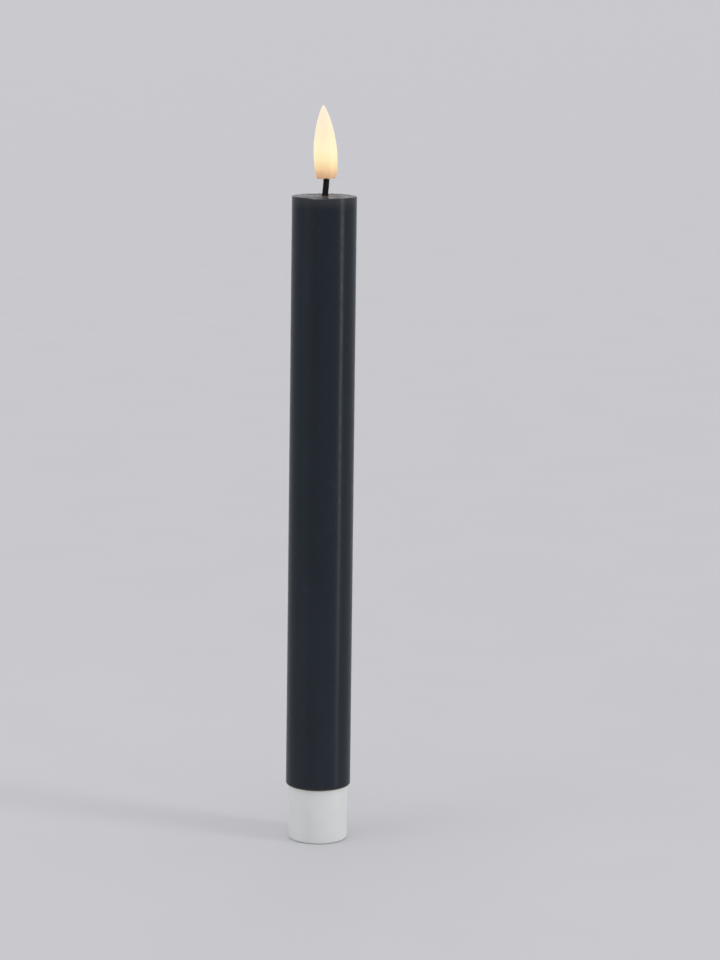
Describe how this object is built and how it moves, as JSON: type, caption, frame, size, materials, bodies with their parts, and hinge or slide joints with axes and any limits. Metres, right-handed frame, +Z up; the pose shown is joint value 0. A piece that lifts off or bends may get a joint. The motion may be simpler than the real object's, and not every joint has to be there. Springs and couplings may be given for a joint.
{
  "type": "flameless led candle",
  "caption": "Slim dark wax dinner candle with a glowing moulded flame on a short wick and a white screw-on foot that holds the battery switch.",
  "frame": {"origin": "centre of the foot, on the surface the candle stands on", "axes": "+Z up along the candle; the front faces -Y and sees the wick's narrow side; +X to the right"},
  "size_m": [0.022, 0.022, 0.249],
  "materials": {
    "wax": "satin dyed wax",
    "white_plastic": "satin moulded",
    "flame_plastic": "frosted, lit from inside",
    "black_sleeve": "matte shrink sleeve",
    "lamp_lens": "clear epoxy",
    "nickel": "nickel plated",
    "steel": "zinc plated",
    "circuit_board": "green solder mask",
    "black_moulding": "matte moulded",
    "cell_wrap": "printed foil wrap",
    "red_insulation": "satin wire insulation",
    "black_insulation": "satin wire insulation"
  },
  "bodies": {
    "candle": {"wax_sleeve": "wax", "core_tube": "white_plastic", "bay_stop": "white_plastic", "positive_contact": "nickel", "return_strip": "nickel", "supply_wire_positive": "red_insulation", "supply_wire_negative": "black_insulation", "control_board": "circuit_board", "controller_chip": "black_moulding", "timing_crystal": "steel", "smoothing_capacitor": "black_moulding", "resistor_1": "black_moulding", "resistor_2": "black_moulding", "resistor_3": "black_moulding", "infrared_receiver": "black_moulding", "tube_plug": "white_plastic", "wick_sleeve": "black_sleeve", "lamp_wire_positive": "red_insulation", "lamp_wire_negative": "black_insulation", "lamp": "lamp_lens", "flame": "flame_plastic"},
    "cells": {"lower_battery": "cell_wrap", "upper_battery": "cell_wrap"},
    "cap": {"base_cap": "white_plastic", "base_board": "circuit_board", "contact_ring": "nickel", "battery_spring": "nickel", "base_screw_front": "steel", "base_screw_rear": "steel", "switch_housing": "steel", "switch_pin_1": "nickel", "switch_pin_2": "nickel", "switch_pin_3": "nickel"},
    "switch": {"switch_knob": "black_moulding"}
  },
  "joints": [
    {"name": "cap_travel", "type": "slide", "parent": "candle", "child": "cells", "axis": [0, 0, -1], "range_m": [0, 0.0125]},
    {"name": "cap_turn", "type": "hinge", "parent": "cells", "child": "cap", "pos_m": [0, 0, 0.01], "axis": [0, 0, -1], "range_deg": [0, 1200]},
    {"name": "switch_slide", "type": "slide", "parent": "cap", "child": "switch", "axis": [-1, 0, 0], "range_m": [0, 0.002]}
  ],
  "couplings": [
    {"joint": "cap_travel", "follows": "cap_turn", "m_per_rad": 0.00047746}
  ]
}
